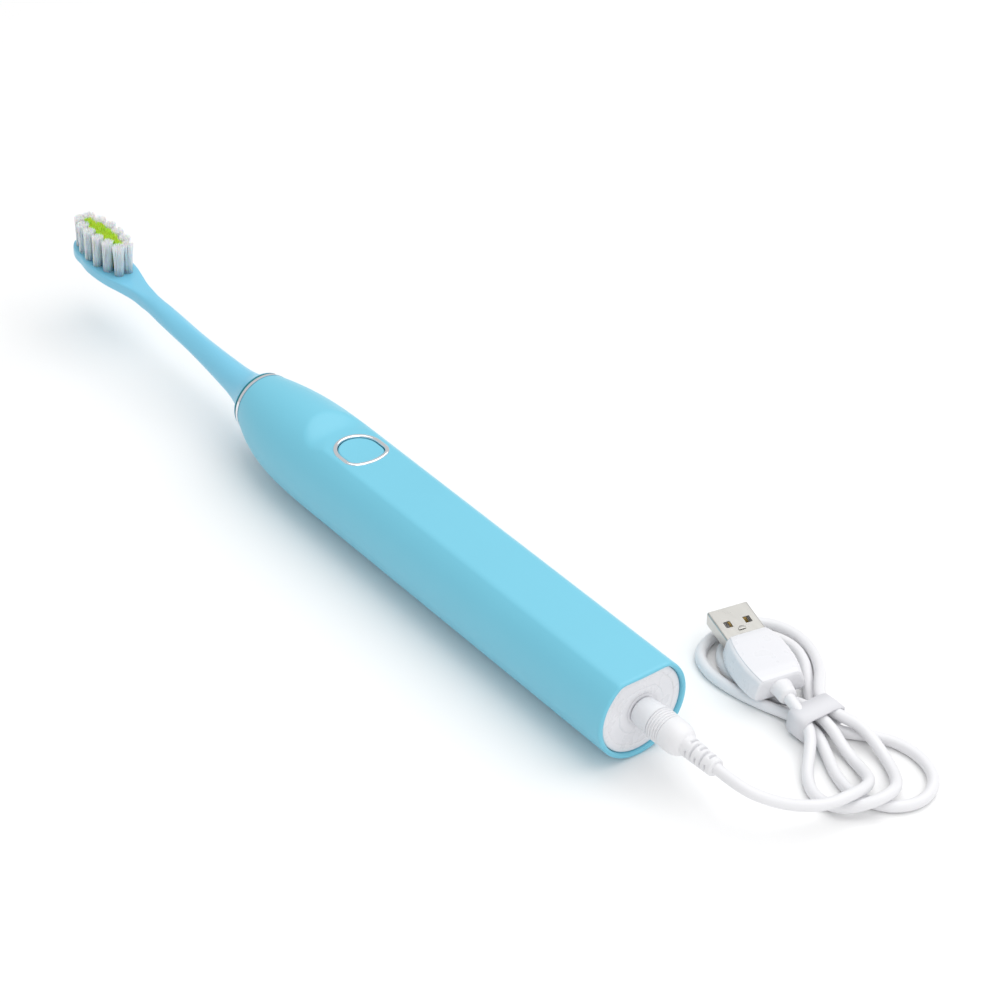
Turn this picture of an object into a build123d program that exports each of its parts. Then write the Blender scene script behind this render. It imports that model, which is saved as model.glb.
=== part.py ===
from build123d import *
import math
import os

# Sonic toothbrush lying on its back, with its charging lead plugged into the handle's base.
# Frame: the brush lies along X with its head toward -X and its base toward +X, the button and the
# bristles face +Z, and the surface it lies on is Z = 0. The origin is the bottom centre of the brush.

# ---- driving dimensions, mm
overall_length = 270.8
base_x = overall_length / 2
handle_length = 169.4
handle_radius = 14.6
axis_z = handle_radius
collar_x = base_x - handle_length
collar_radius = 9.5
shoulder_length = 46.0
shoulder_power = 3.8
neck_lift = 1.9
wall = 1.4

# flat facet on the front of the handle, which ends in a scoop a little ahead of the button
facet_height = 12.05
facet_length = 132.7
facet_run_out = 7.0
facet_rise = 2.7

# shaft, seal and motor
shaft_z = axis_z + neck_lift
shaft_radius = 1.9
running_gap = 0.04
seal_radius = 4.5
shaft_reach = 11.0
motor_front = collar_x + 7.5
motor_length = 27.0
motor_radius = 8.6
motor_wall = 0.5

# brush head
joint_gap = 0.3
trim_ring_height = 0.9
head_ring_height = 0.8
neck_rise = 0.077
neck_rise_end = 66.0
plate_thickness = 4.2
tuft_height = 10.2
white_tuft_radius = 1.45
green_tuft_radius = 0.95
tuft_depth = 3.0
anchor_height = 0.8

# power button
button_x = base_x - 123.0
button_half = 7.4
button_band = 1.2

# charging jack and its plug
cap_recess = 0.9
cap_thickness = 4.0
jack_radius = 4.6
jack_depth = 13.0
barrel_radius = 1.75
barrel_length = 9.6

# cord, hank and USB plug
cord_diameter = 3.2
usb_width = 12.0
usb_height = 4.5
usb_exposed = 12.0
usb_yaw = -15.5
usb_pitch = -2.0
usb_roll = 4.0
usb_length = 37.0
usb_nose = (base_x - 23.8, 50.6, 8.6)

os.makedirs("parts", exist_ok=True)


def save(piece, name):
    """Label a finished piece and write it as its own STEP file."""
    piece.part.label = name
    export_step(piece.part, "parts/" + name + ".step")


def shoulder_section(x, inset):
    """Radius and lift of the handle's round section at station x."""
    t = min((x - collar_x) / shoulder_length, 1.0)
    radius = collar_radius + (handle_radius - collar_radius) * (1 - (1 - t) ** shoulder_power)
    lift = neck_lift * (1 - t) ** 6
    return radius - inset, lift


def handle_form(inset, front, back):
    """Solid of the handle's outline, inset all round, between two stations on X."""
    shoulder_end = collar_x + shoulder_length
    steps = 10
    with BuildPart() as form:
        for i in range(steps + 1):
            x = front + (shoulder_end - front) * (i / steps) ** 1.7
            radius, lift = shoulder_section(x, inset)
            with BuildSketch(Plane.YZ.offset(x)):
                with Locations((0, axis_z + lift)):
                    Circle(radius)
        loft()
        with BuildSketch(Plane.YZ.offset(shoulder_end)):
            with Locations((0, axis_z)):
                Circle(handle_radius - inset)
        extrude(amount=back - shoulder_end)
        start_x = base_x - facet_length
        end_x = start_x - facet_run_out
        flat_z = axis_z + facet_height - inset
        with BuildSketch(Plane.XZ):
            with BuildLine():
                Line((base_x + 5, flat_z), (start_x, flat_z))
                ThreePointArc(
                    (start_x, flat_z),
                    (start_x - facet_run_out / 2, flat_z + facet_rise / 4),
                    (end_x, flat_z + facet_rise),
                )
                Line((end_x, flat_z + facet_rise), (end_x, flat_z + 20))
                Line((end_x, flat_z + 20), (base_x + 5, flat_z + 20))
                Line((base_x + 5, flat_z + 20), (base_x + 5, flat_z))
            make_face()
        extrude(amount=30, both=True, mode=Mode.SUBTRACT)
    return form.part


def tube(name, x_from, x_to, outer, inner, height):
    """Plain round sleeve along X, centred at the given height."""
    with BuildPart() as sleeve:
        with BuildSketch(Plane.YZ.offset(x_from)):
            with Locations((0, height)):
                Circle(outer)
                if inner > 0:
                    Circle(inner, mode=Mode.SUBTRACT)
        extrude(amount=x_to - x_from)
    save(sleeve, name)
    return sleeve


# ---- handle shell: one moulded sleeve, open at the base, with a bored nose for the shaft seal
def button_outline(inset):
    """Button outline: a dome toward the head, blunter toward the base. Used inside a BuildSketch."""
    half = button_half - inset
    corner = 5.0 - inset
    with BuildLine() as outline:
        ThreePointArc((0, -half), (-half, 0), (0, half))
        Line((0, half), (corner, half))
        ThreePointArc((corner, half), (half, 0), (corner, -half))
        Line((corner, -half), (0, -half))
    make_face(outline.edges())
    fillet(vertices().filter_by(lambda corner_point: corner_point.X > corner - 0.01), radius=4.2 - inset)


outer_form = handle_form(0, collar_x, base_x)
cavity_form = handle_form(wall, collar_x + 6, base_x + 2)

with BuildPart() as handle_shell:
    add(outer_form)
    add(cavity_form, mode=Mode.SUBTRACT)
    with BuildSketch(Plane.YZ.offset(collar_x)):
        with Locations((0, shaft_z)):
            Circle(seal_radius)
    extrude(amount=10, mode=Mode.SUBTRACT)
    with BuildSketch(Plane((button_x, 0, axis_z + 5))):
        button_outline(0)
    extrude(amount=15, mode=Mode.SUBTRACT)
    fillet(handle_shell.faces().sort_by(Axis.X)[-1].edges(), radius=0.5)
save(handle_shell, "handle_shell")

# ---- collar: chrome trim ring and the rubber seal round the shaft
tube("neck_trim_ring", collar_x - trim_ring_height, collar_x, collar_radius + 0.1, seal_radius + 0.9, shaft_z)

with BuildPart() as shaft_seal:
    with BuildSketch(Plane.YZ.offset(collar_x - trim_ring_height)):
        with Locations((0, shaft_z)):
            Circle(seal_radius + 0.85)
            Circle(shaft_radius + running_gap, mode=Mode.SUBTRACT)
    extrude(amount=trim_ring_height)
    with BuildSketch(Plane.YZ.offset(collar_x)):
        with Locations((0, shaft_z)):
            Circle(seal_radius)
            Circle(shaft_radius + running_gap, mode=Mode.SUBTRACT)
    extrude(amount=6)
save(shaft_seal, "shaft_seal")

# ---- button: chrome surround that follows the shell, rubber gasket, and the key with its post
ring_floor = axis_z + 10.2
button_plane = Plane((button_x, 0, ring_floor))


def button_slab(inset, proud, floor):
    """Prism of the button outline from a floor up to the shell's surface, stood proud by a little."""
    with BuildPart() as slab:
        with BuildSketch(Plane((button_x, 0, floor))):
            button_outline(inset)
        extrude(amount=6)
        with BuildSketch(Plane.YZ.offset(button_x - 12)):
            with Locations((0, axis_z)):
                Circle(handle_radius + proud)
        extrude(amount=24, mode=Mode.INTERSECT)
        with BuildSketch(Plane((button_x, 0, axis_z + facet_height + proud))):
            Rectangle(24, 24)
        extrude(amount=9, mode=Mode.SUBTRACT)
    return slab.part


ring_slab = button_slab(0, 0.3, ring_floor)
key_slab = button_slab(button_band + 0.15, -0.1, ring_floor + 0.8)

with BuildPart() as button_trim_ring:
    add(ring_slab)
    with BuildSketch(button_plane):
        button_outline(button_band)
    extrude(amount=6, mode=Mode.SUBTRACT)
save(button_trim_ring, "button_trim_ring")

with BuildPart() as button_gasket:
    with BuildSketch(button_plane.offset(-0.5)):
        button_outline(0.3)
        Circle(3.2, mode=Mode.SUBTRACT)
    extrude(amount=0.5)
save(button_gasket, "button_gasket")

with BuildPart() as button_cap:
    add(key_slab)
    with BuildSketch(button_plane.offset(-0.1)):
        Circle(2.0)
    extrude(amount=0.9)
save(button_cap, "button_cap")

board_top = axis_z + 7.2
board_thickness = 1.2
switch_top = axis_z + 9.0
with BuildPart() as tact_switch:
    with BuildSketch(Plane((button_x, 0, board_top))):
        RectangleRounded(6.0, 6.0, 0.5)
    extrude(amount=switch_top - board_top)
    with BuildSketch(Plane((button_x, 0, switch_top))):
        Circle(1.1)
    extrude(amount=-1.6, mode=Mode.SUBTRACT)
save(tact_switch, "tact_switch")

with BuildPart() as switch_stem:
    with BuildSketch(Plane((button_x, 0, switch_top - 1.0))):
        Circle(1.0)
    extrude(amount=ring_floor - 0.1 - switch_top + 1.0)
save(switch_stem, "switch_stem")

# ---- chassis: open trough that carries the motor, the board and the battery
chassis_outer = handle_radius - wall - 0.3
chassis_inner = chassis_outer - 1.3
chassis_front = motor_front + motor_length + 1.0
chassis_back = base_x - cap_recess - cap_thickness - 9.5
board_front = button_x - 8.0
board_length = 92.0
board_screws = [board_front + 12.0, board_front + 59.0]
screw_y = 6.0

with BuildPart() as chassis:
    with BuildSketch(Plane.YZ.offset(chassis_front)):
        with Locations((0, axis_z)):
            Circle(chassis_outer)
            Circle(chassis_inner, mode=Mode.SUBTRACT)
        with Locations((0, axis_z + 15)):
            Rectangle(40, 24, mode=Mode.SUBTRACT)
    extrude(amount=chassis_back - chassis_front)
    with BuildSketch(Plane.YZ.offset(chassis_front)):
        with Locations((0, axis_z)):
            Circle(chassis_outer)
        with Locations((0, axis_z + 15)):
            Rectangle(40, 24, mode=Mode.SUBTRACT)
    extrude(amount=1.6)
    for x in board_screws:
        with BuildSketch(Plane((x, 0, board_top - board_thickness))):
            with Locations((0, screw_y), (0, -screw_y)):
                Circle(1.6)
        extrude(amount=-16.5)
        with BuildSketch(Plane((x, 0, board_top - board_thickness))):
            with Locations((0, screw_y), (0, -screw_y)):
                Circle(0.6)
        extrude(amount=-5, mode=Mode.SUBTRACT)
save(chassis, "chassis")

# ---- motor: steel can with a coil former inside, and the two bearings that hold the shaft
with BuildPart() as motor_can:
    with BuildSketch(Plane.YZ.offset(motor_front)):
        with Locations((0, shaft_z)):
            Circle(motor_radius)
    extrude(amount=motor_length)
    with BuildSketch(Plane.YZ.offset(motor_front + 1.0)):
        with Locations((0, shaft_z)):
            Circle(motor_radius - motor_wall)
    extrude(amount=motor_length - 2.0, mode=Mode.SUBTRACT)
    with BuildSketch(Plane.YZ.offset(motor_front - 1)):
        with Locations((0, shaft_z)):
            Circle(3.5)
    extrude(amount=motor_length + 2, mode=Mode.SUBTRACT)
save(motor_can, "motor_can")

tube("motor_coils", motor_front + 5, motor_front + motor_length - 5, motor_radius - motor_wall, 7.1, shaft_z)
tube("front_bearing", motor_front - 1.0, motor_front + 2.0, 3.5, shaft_radius + running_gap, shaft_z)
motor_back = motor_front + motor_length
tube("rear_bearing", motor_back - 3, motor_back, 3.5, shaft_radius + running_gap, shaft_z)

# ---- drive shaft: steel rod with a flat at its free end, and the rotor with four magnets
shaft_front = collar_x - trim_ring_height - joint_gap - head_ring_height - shaft_reach
with BuildPart() as drive_shaft:
    with BuildSketch(Plane.YZ.offset(shaft_front)):
        with Locations((0, shaft_z)):
            Circle(shaft_radius)
    extrude(amount=motor_front + motor_length - shaft_front)
    with BuildSketch(Plane.YZ.offset(shaft_front)):
        with Locations((0, shaft_z + shaft_radius + 1.4)):
            Rectangle(6, 4)
    extrude(amount=10, mode=Mode.SUBTRACT)
    chamfer(drive_shaft.edges().group_by(Axis.X)[0], length=0.3)
save(drive_shaft, "drive_shaft")

rotor_front = motor_front + 6
rotor_length = motor_length - 12
tube("rotor_core", rotor_front, rotor_front + rotor_length, 5.0, shaft_radius, shaft_z)

with BuildPart() as rotor_magnets:
    for turn in range(4):
        with BuildSketch(Plane.YZ.offset(rotor_front)):
            with Locations((0, shaft_z)):
                Circle(6.6)
                Circle(5.0, mode=Mode.SUBTRACT)
            with Locations(Location((0, shaft_z), 90 * turn + 45)):
                Rectangle(9, 9, align=(Align.MIN, Align.CENTER), mode=Mode.INTERSECT)
            with Locations(Location((0, shaft_z), 90 * turn + 45)):
                with Locations((0, 6.2), (0, -6.2)):
                    Rectangle(20, 5, mode=Mode.SUBTRACT)
        extrude(amount=rotor_length)
save(rotor_magnets, "rotor_magnets")

# ---- circuit board with its lamps, screws, the battery and its nickel tabs
with BuildPart() as circuit_board:
    with BuildSketch(Plane((board_front, 0, board_top - board_thickness))):
        with Locations((board_length / 2, 0)):
            RectangleRounded(board_length, 17.0, 1.5)
        for x in board_screws:
            with Locations((x - board_front, screw_y), (x - board_front, -screw_y)):
                Circle(0.9, mode=Mode.SUBTRACT)
    extrude(amount=board_thickness)
save(circuit_board, "circuit_board")

with BuildPart() as indicator_leds:
    with BuildSketch(Plane((button_x, 0, board_top))):
        with Locations((14, 0), (19, 0), (24, 0), (29, 0)):
            Rectangle(2.0, 1.3)
    extrude(amount=0.8)
save(indicator_leds, "indicator_leds")

with BuildPart() as frame_screws:
    for x in board_screws:
        with BuildSketch(Plane((x, 0, board_top))):
            with Locations((0, screw_y), (0, -screw_y)):
                Circle(1.4)
        extrude(amount=0.9)
        with BuildSketch(Plane((x, 0, board_top))):
            with Locations((0, screw_y), (0, -screw_y)):
                Circle(0.6)
        extrude(amount=-5)
save(frame_screws, "frame_screws")

battery_radius = 7.0
battery_back = chassis_back - 2.0
battery_front = battery_back - 49.0
battery_z = axis_z - 3.0
tube("battery_cell", battery_front, battery_back, battery_radius, 0, battery_z)

with BuildPart() as battery_contacts:
    for x, way in ((battery_front, -1), (battery_back, 1)):
        with BuildSketch(Plane.YZ.offset(x)):
            with Locations((0, battery_z + 3.0)):
                Rectangle(4.0, 10.0)
        extrude(amount=0.3 * way)
save(battery_contacts, "battery_contacts")

with BuildPart() as battery_pad:
    with BuildSketch(Plane(((battery_front + battery_back) / 2, 0, battery_z + battery_radius))):
        Rectangle(30, 8)
    extrude(amount=board_top - board_thickness - battery_z - battery_radius)
save(battery_pad, "battery_pad")

# ---- base: recessed end cap with a seal round it, and the charging jack in its middle
cap_face = base_x - cap_recess
cap_back = cap_face - cap_thickness
cap_form = handle_form(wall + 0.08, collar_x + 6, cap_face)
spigot_form = handle_form(wall + 0.9, collar_x + 6, cap_face)
band_form = handle_form(wall + 0.02, collar_x + 6, cap_back - 0.4)


def slice_of(x_from, x_to):
    """Round slice across the handle between two stations. Used inside a BuildPart."""
    with BuildSketch(Plane.YZ.offset(x_from)) as disc:
        with Locations((0, axis_z)):
            Circle(handle_radius + 4)
    extrude(disc.sketch, amount=x_to - x_from, mode=Mode.INTERSECT)


def jack_hole(x_from, x_to):
    """Clear the jack's round seat. Used inside a BuildPart."""
    with BuildSketch(Plane.YZ.offset(x_from)) as seat:
        with Locations((0, axis_z)):
            Circle(jack_radius)
    extrude(seat.sketch, amount=x_to - x_from, mode=Mode.SUBTRACT)


with BuildPart() as cap_disc:
    add(cap_form)
    slice_of(cap_back, cap_face)
with BuildPart() as cap_spigot:
    add(spigot_form)
    slice_of(cap_back - 3.6, cap_back)
with BuildPart() as end_cap:
    add(cap_disc.part)
    add(cap_spigot.part)
    jack_hole(cap_back - 5, cap_face + 1)
save(end_cap, "end_cap")

with BuildPart() as end_cap_seal:
    add(band_form)
    slice_of(cap_back - 2.2, cap_back - 0.4)
    add(spigot_form, mode=Mode.SUBTRACT)
save(end_cap_seal, "end_cap_seal")

jack_back = cap_face - jack_depth
with BuildPart() as jack_body:
    with BuildSketch(Plane.YZ.offset(jack_back)):
        with Locations((0, axis_z)):
            Circle(jack_radius)
    extrude(amount=jack_depth)
    with BuildSketch(Plane.YZ.offset(jack_back + 1.5)):
        with Locations((0, axis_z)):
            Circle(barrel_radius + 0.35)
    extrude(amount=jack_depth, mode=Mode.SUBTRACT)
save(jack_body, "jack_body")

with BuildPart() as jack_contacts:
    with BuildSketch(Plane.YZ.offset(jack_back + 1.5)):
        with Locations((0, axis_z)):
            Circle(0.6)
    extrude(amount=jack_depth - 3.5)
    with BuildSketch(Plane.YZ.offset(jack_back + 3.0)):
        with Locations((0, axis_z)):
            Circle(barrel_radius + 0.35)
            Circle(barrel_radius + 0.1, mode=Mode.SUBTRACT)
    extrude(amount=5)
save(jack_contacts, "jack_contacts")

# ---- brush head: hollow neck on the shaft, flaring skirt, and an oval plate that carries the tufts
head_ring_x = collar_x - trim_ring_height - joint_gap
head_x = head_ring_x - head_ring_height
neck_stations = [
    (0.0, 9.4, 9.4),
    (1.0, 8.4, 8.4),
    (2.5, 7.3, 7.3),
    (4.5, 6.3, 6.3),
    (7.5, 5.4, 5.4),
    (11.0, 4.85, 4.85),
    (16.0, 4.5, 4.5),
    (24.0, 4.1, 4.1),
    (34.0, 3.7, 3.7),
    (44.0, 3.5, 3.4),
    (54.0, 3.1, 2.9),
    (60.0, 2.9, 2.5),
    (66.0, 3.5, 1.8),
]
plate_length = head_x + base_x


def neck_z(distance):
    """Height of the neck's centreline at a distance from the skirt's face."""
    return shaft_z + neck_rise * min(distance, neck_rise_end)


plate_centre = 84.0
plate_origin = (head_x - plate_centre, 0, neck_z(plate_centre))
plate_plane = Plane(origin=plate_origin, x_dir=(-1, 0, 0), z_dir=(0, 0, 1))
plate_top = plate_plane.offset(plate_thickness / 2)

white_places = []
for along, across in ((10.9, 1.55), (6.8, 3.0), (2.3, 3.8)):
    white_places += [(along, across), (along, -across), (-along, across), (-along, -across)]
green_places = [(6.6, 0.0), (-6.6, 0.0), (8.8, 0.0), (-8.8, 0.0)]
for row in range(-2, 3):
    green_places += [(2.2 * row, 1.1), (2.2 * row, -1.1)]

with BuildPart() as head_body:
    for distance, half_width, half_height in neck_stations:
        with BuildSketch(Plane.YZ.offset(head_x - distance)):
            with Locations((0, neck_z(distance))):
                Ellipse(half_width, half_height)
    loft()
    with BuildSketch(plate_plane.offset(-plate_thickness / 2)):
        with BuildLine():
            tip = plate_length - plate_centre
            Spline(
                (-20.0, 2.9),
                (-15.4, 4.2),
                (-11.0, 5.5),
                (-4.0, 6.3),
                (2.0, 6.1),
                (7.5, 5.0),
                (tip - 3.0, 2.9),
                (tip, 0.0),
                tangents=((1, 0.15), (0, -1)),
            )
            mirror(about=Plane.XZ)
            Line((-20.0, 2.9), (-20.0, -2.9))
        make_face()
    extrude(amount=plate_thickness)
    with BuildSketch(plate_top):
        with Locations(white_places):
            Circle(white_tuft_radius)
        with Locations(green_places):
            Circle(green_tuft_radius)
    extrude(amount=-tuft_depth, mode=Mode.SUBTRACT)
    with BuildSketch(Plane.YZ.offset(head_x)):
        with Locations((0, shaft_z)):
            Circle(2.9)
    extrude(amount=-shaft_reach - 1.5, mode=Mode.SUBTRACT)
    with BuildSketch(Plane.YZ.offset(head_x)):
        with Locations((0, shaft_z)):
            Circle(4.6)
    extrude(amount=-3, taper=20, mode=Mode.SUBTRACT)
save(head_body, "head_body")

tube("head_base_ring", head_x, head_ring_x, 9.1, 6.0, shaft_z)

clip_x = head_x - 5.0
with BuildPart() as head_bushing:
    with BuildSketch(Plane.YZ.offset(head_x - 3)):
        with Locations((0, shaft_z)):
            Circle(2.9)
            Circle(shaft_radius + running_gap, mode=Mode.SUBTRACT)
    extrude(amount=3 - shaft_reach - 1.0)
    with BuildSketch(Plane.YZ.offset(clip_x)):
        with Locations((0, shaft_z)):
            Circle(2.5)
    extrude(amount=-1.2, mode=Mode.SUBTRACT)
    with BuildSketch(Plane.YZ.offset(clip_x - 2.5)):
        with Locations((0, shaft_z)):
            Circle(shaft_radius + 0.2)
        with Locations((0, shaft_z + 1.45)):
            Rectangle(6, 2, align=(Align.CENTER, Align.MIN), mode=Mode.INTERSECT)
    extrude(amount=-4.5)
save(head_bushing, "head_bushing")

with BuildPart() as head_clip:
    with BuildSketch(Plane.YZ.offset(clip_x - 0.2)):
        with Locations((0, shaft_z)):
            Circle(2.45)
            Circle(shaft_radius + running_gap, mode=Mode.SUBTRACT)
        with Locations((0, shaft_z - 2.5)):
            Rectangle(1.6, 3.0, mode=Mode.SUBTRACT)
    extrude(amount=-0.8)
save(head_clip, "head_clip")

tuft_floor = plate_top.offset(anchor_height - tuft_depth)
with BuildPart() as white_tufts:
    with BuildSketch(tuft_floor):
        with Locations(white_places):
            Circle(white_tuft_radius)
    extrude(amount=tuft_height + tuft_depth - anchor_height)
save(white_tufts, "white_tufts")

with BuildPart() as green_tufts:
    with BuildSketch(tuft_floor):
        with Locations(green_places):
            Circle(green_tuft_radius)
    extrude(amount=tuft_height + tuft_depth - anchor_height - 0.4)
save(green_tufts, "green_tufts")

with BuildPart() as tuft_anchors:
    with BuildSketch(plate_top.offset(-tuft_depth)):
        with Locations(white_places + green_places):
            Rectangle(0.3, 1.4)
    extrude(amount=anchor_height)
save(tuft_anchors, "tuft_anchors")

# ---- charging plug: barrel in the jack, and a moulded grip that steps down to the strain relief
plug_face = cap_face + joint_gap
grip_length = 17.5
relief_length = 11.0
tube("plug_barrel", plug_face - barrel_length, plug_face, barrel_radius, 1.4, axis_z)
tube("plug_insulator", plug_face - barrel_length, plug_face, 1.4, 1.15, axis_z)
tube("plug_contact", plug_face - barrel_length, plug_face, 1.15, 0.7, axis_z)

rib_count = 5
rib_pitch = 0.9
rib_start = 6.4
with BuildPart() as plug_overmould:
    with BuildSketch(Plane.XZ):
        with BuildLine():
            outline = [(plug_face, axis_z), (plug_face, axis_z + 3.7), (plug_face + 0.4, axis_z + 4.0)]
            outline += [(plug_face + rib_start, axis_z + 4.55)]
            for rib in range(rib_count):
                x = plug_face + rib_start + rib * rib_pitch
                outline += [(x + 0.01, axis_z + 4.2), (x + 0.4, axis_z + 4.2)]
                outline += [(x + 0.41, axis_z + 4.7), (x + rib_pitch, axis_z + 4.7)]
            Polyline(outline)
            rib_end = plug_face + rib_start + rib_count * rib_pitch
            Spline(
                (rib_end, axis_z + 4.7),
                (rib_end + 1.8, axis_z + 4.75),
                (rib_end + 4.4, axis_z + 4.3),
                (plug_face + grip_length, axis_z + 3.1),
            )
            Line((plug_face + grip_length, axis_z + 3.1), (plug_face + grip_length, axis_z))
            Line((plug_face + grip_length, axis_z), (plug_face, axis_z))
        make_face()
    revolve(axis=Axis((0, 0, axis_z), (1, 0, 0)), revolution_arc=360)
save(plug_overmould, "plug_overmould")

relief_start = plug_face + grip_length
cord_start = relief_start + relief_length
with BuildPart() as plug_strain_relief:
    with BuildSketch(Plane.YZ.offset(relief_start)):
        with Locations((0, axis_z)):
            Circle(2.95)
    with BuildSketch(Plane.YZ.offset(cord_start)):
        with Locations((0, axis_z)):
            Circle(2.6)
    loft()
    for notch in range(4):
        side = 1 if notch % 2 == 0 else -1
        with BuildSketch(Plane.YZ.offset(relief_start + 1.4 + 2.4 * notch)):
            with Locations((0, axis_z + side * 2.6)):
                Rectangle(8, 1.8)
        extrude(amount=1.0, mode=Mode.SUBTRACT)
save(plug_strain_relief, "plug_strain_relief")

# ---- cord: the free run from the strain relief down to the hank
cord_radius = cord_diameter / 2
cord_route = [
    (cord_start, 0.0, axis_z),
    (base_x + 44.0, 0.0, axis_z),
    (base_x + 50.0, 18.0, 5.6),
    (base_x + 50.4, 27.0, 3.8),
]


def bend_radii(points):
    """Largest fair bend at each inner point: 0.45 of the shorter run over tan of half the turn."""
    radii = []
    for before, here, after in zip(points, points[1:], points[2:]):
        first = Vector(*here) - Vector(*before)
        second = Vector(*after) - Vector(*here)
        half_turn = math.radians(first.get_angle(second)) / 2
        radii.append(0.45 * min(first.length, second.length) / math.tan(half_turn))
    return radii


route_radii = bend_radii(cord_route)
print("cord bend radii, mm:", [round(r, 1) for r in route_radii])
with BuildPart() as cord_tube:
    with BuildLine() as cord_path:
        FilletPolyline(*cord_route, radius=route_radii)
    with BuildSketch(cord_path.wires()[0] ^ 0):
        Circle(cord_radius)
    sweep()
save(cord_tube, "cord_tube")
run_length = cord_path.wires()[0].length
print("cord run, mm:", round(run_length, 1))
plain_volume = math.pi * cord_radius**2 * run_length
print("tube volume over section x length:", round(cord_tube.part.volume / plain_volume, 4))

# ---- pose of the USB plug, which lies on the hank with its nose toward the head
yaw = math.radians(usb_yaw)
pitch = math.radians(usb_pitch)
usb_along = Vector(math.cos(yaw) * math.cos(pitch), math.sin(yaw) * math.cos(pitch), math.sin(pitch))
usb_level_up = usb_along.cross(Vector(-math.sin(yaw), math.cos(yaw), 0))
usb_level = Plane(origin=usb_nose, x_dir=usb_along, z_dir=usb_level_up)
usb_plane = usb_level.rotated((usb_roll, 0, 0))


def usb_section(distance):
    """Plane across the USB plug at a distance from its nose."""
    point = usb_plane.from_local_coords((distance, 0, 0))
    return Plane(origin=point, x_dir=usb_plane.y_dir, z_dir=usb_plane.x_dir)


# ---- hank: outer shape of the bundled cord, a low lobe, a tied waist and a higher lobe
tie_x = base_x + 15.6
tie_width = 7.0
tie_thickness = 0.8
waist_low, waist_high = 37.2, 50.2
waist_top = 7.2
with BuildPart() as cord_hank:
    with BuildSketch(Plane.XY):
        with BuildLine():
            Spline(
                (tie_x, waist_low + 1.5),
                (base_x - 4.0, 35.5),
                (base_x - 17.0, 34.6),
                (base_x - 25.5, 42.0),
                (base_x - 24.5, 58.0),
                (base_x - 17.0, 67.6),
                (base_x - 2.0, 62.5),
                (tie_x, waist_high - 0.5),
            )
            Line((tie_x, waist_high - 0.5), (tie_x, waist_low + 1.5))
        make_face()
    extrude(amount=3.2)
    with BuildSketch(Plane.XY):
        with BuildLine():
            Spline(
                (tie_x + tie_width, waist_low + 0.5),
                (base_x + 36.0, 27.5),
                (base_x + 50.5, 23.0),
                (base_x + 58.3, 40.0),
                (base_x + 52.0, 54.5),
                (base_x + 37.0, 59.3),
                (tie_x + tie_width, waist_high - 0.2),
            )
            Line((tie_x + tie_width, waist_high - 0.2), (tie_x + tie_width, waist_low + 0.5))
        make_face()
    extrude(amount=5.8)
    with BuildSketch(Plane.YZ.offset(tie_x - 1.5)):
        with Locations(((waist_low + waist_high) / 2, (tie_thickness + waist_top) / 2)):
            Rectangle(waist_high - waist_low, waist_top - tie_thickness)
        fillet(vertices(), radius=1.2)
    extrude(amount=tie_width + 2)
    with BuildLine() as stub_path:
        Line(usb_section(usb_length - 0.4).origin, (tie_x - 0.7, 40.4, 5.4))
    with BuildSketch(stub_path.wires()[0] ^ 0):
        Circle(cord_radius)
    sweep(path=stub_path.wires()[0])
save(cord_hank, "cord_hank")

with BuildPart() as cord_tie:
    with BuildSketch(Plane.YZ.offset(tie_x)):
        with Locations(((waist_low + waist_high) / 2, (tie_thickness + waist_top) / 2)):
            RectangleRounded(
                waist_high - waist_low + 2 * tie_thickness, waist_top + tie_thickness, 1.2 + tie_thickness
            )
            RectangleRounded(waist_high - waist_low, waist_top - tie_thickness, 1.2, mode=Mode.SUBTRACT)
    extrude(amount=tie_width)
save(cord_tie, "cord_tie")

# ---- USB plug: folded steel shell, white tongue with four contacts, moulded grip and collar
with BuildPart() as usb_shell:
    with BuildSketch(usb_section(0)):
        RectangleRounded(usb_width, usb_height, 0.6)
        RectangleRounded(usb_width - 0.6, usb_height - 0.6, 0.3, mode=Mode.SUBTRACT)
    extrude(amount=usb_exposed)
    with BuildSketch(usb_plane.offset(-4)):
        with Locations((5.2 + 1.25, 2.9), (5.2 + 1.25, -2.9)):
            Rectangle(2.5, 2.0)
    extrude(amount=8, mode=Mode.SUBTRACT)
save(usb_shell, "usb_shell")

with BuildPart() as usb_tongue:
    with BuildSketch(usb_section(0.6)):
        with Locations((0, -0.98)):
            RectangleRounded(11.2, 1.9, 0.3)
    extrude(amount=usb_exposed - 0.6)
save(usb_tongue, "usb_tongue")

with BuildPart() as usb_contacts:
    with BuildSketch(usb_plane.offset(-0.03)):
        with Locations((6.0, 3.5), (6.0, -3.5)):
            Rectangle(8.4, 1.0)
        with Locations((6.5, 1.0), (6.5, -1.0)):
            Rectangle(7.4, 1.0)
    extrude(amount=0.2)
save(usb_contacts, "usb_contacts")

grip_sections = (
    (12.0, 13.8, 6.4),
    (15.0, 16.0, 7.4),
    (22.0, 17.2, 7.4),
    (27.0, 16.8, 7.4),
    (32.0, 14.0, 6.4),
)
with BuildPart() as usb_overmould:
    for distance, width, height in grip_sections:
        with BuildSketch(usb_section(distance)):
            RectangleRounded(width, height, 1.6)
    loft(ruled=True)
save(usb_overmould, "usb_overmould")

with BuildPart() as usb_collar:
    with BuildSketch(usb_section(32.0)):
        RectangleRounded(6.6, 5.4, 2.4)
    extrude(amount=2.2)
    with BuildSketch(usb_section(34.2)):
        Circle(2.2)
    extrude(amount=usb_length - 34.2)
save(usb_collar, "usb_collar")
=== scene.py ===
import math
import bpy
import bmesh
import numpy as np
from mathutils import Matrix, Vector


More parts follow.
